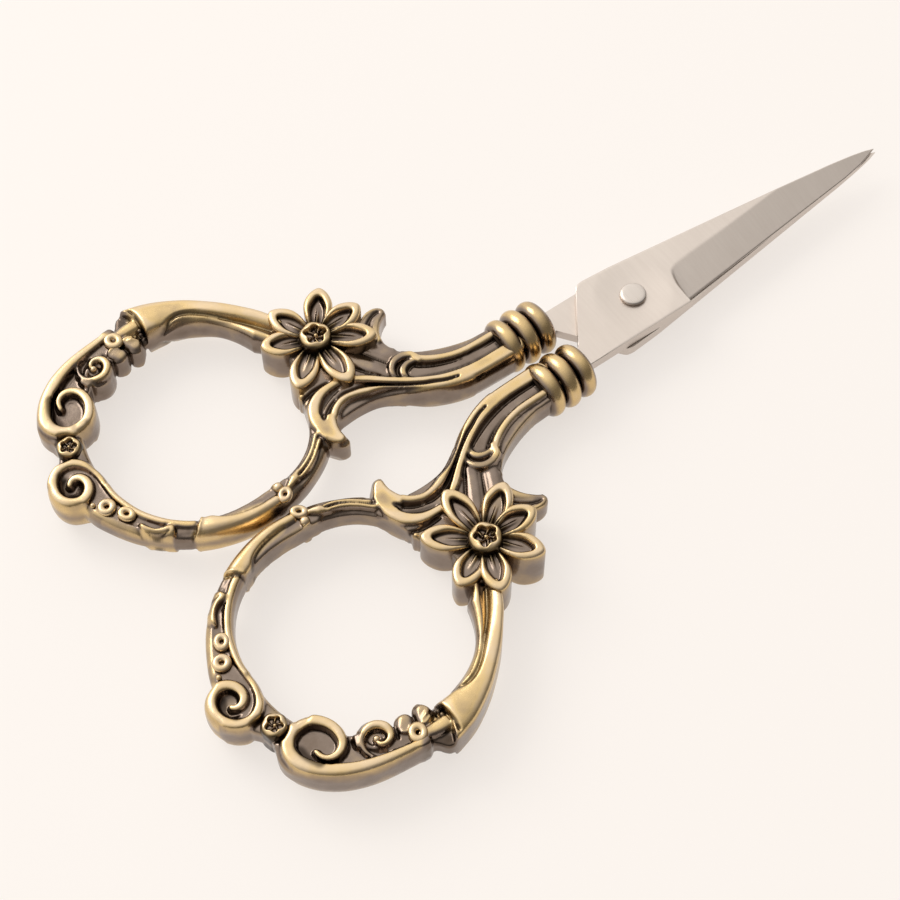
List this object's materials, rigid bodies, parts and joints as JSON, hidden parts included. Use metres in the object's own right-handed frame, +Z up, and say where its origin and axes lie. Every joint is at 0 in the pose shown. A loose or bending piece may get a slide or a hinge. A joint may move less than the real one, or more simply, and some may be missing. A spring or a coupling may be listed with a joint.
{
  "type": "embroidery scissors",
  "caption": "Small needlework scissors: pointed ground steel blades on a rivet, with cast antiqued metal handles of scrolls, flared sheaths and a flower beside each finger ring.",
  "frame": {"origin": "centre of the bounding box's underside, on the table plane, with the scissors closed", "axes": "+X from the finger rings to the tip, +Y towards the left handle, +Z up, square to the blades"},
  "size_m": [0.1162, 0.0716, 0.0075],
  "materials": {
    "handle_metal": "antiqued brass plating, dark in the hollows and rubbed bright on the ridges",
    "blade_steel": "satin ground",
    "rivet_steel": "polished head"
  },
  "bodies": {
    "left_half": {"left_handle": "handle_metal", "lower_blade": "blade_steel", "pivot_rivet": "rivet_steel"},
    "right_half": {"right_handle": "handle_metal", "upper_blade": "blade_steel"}
  },
  "joints": [
    {"name": "blade_pivot", "type": "hinge", "parent": "left_half", "child": "right_half", "pos_m": [0.0166, 0, 0.00375], "axis": [0, 0, 1], "range_deg": [0, 130]}
  ]
}
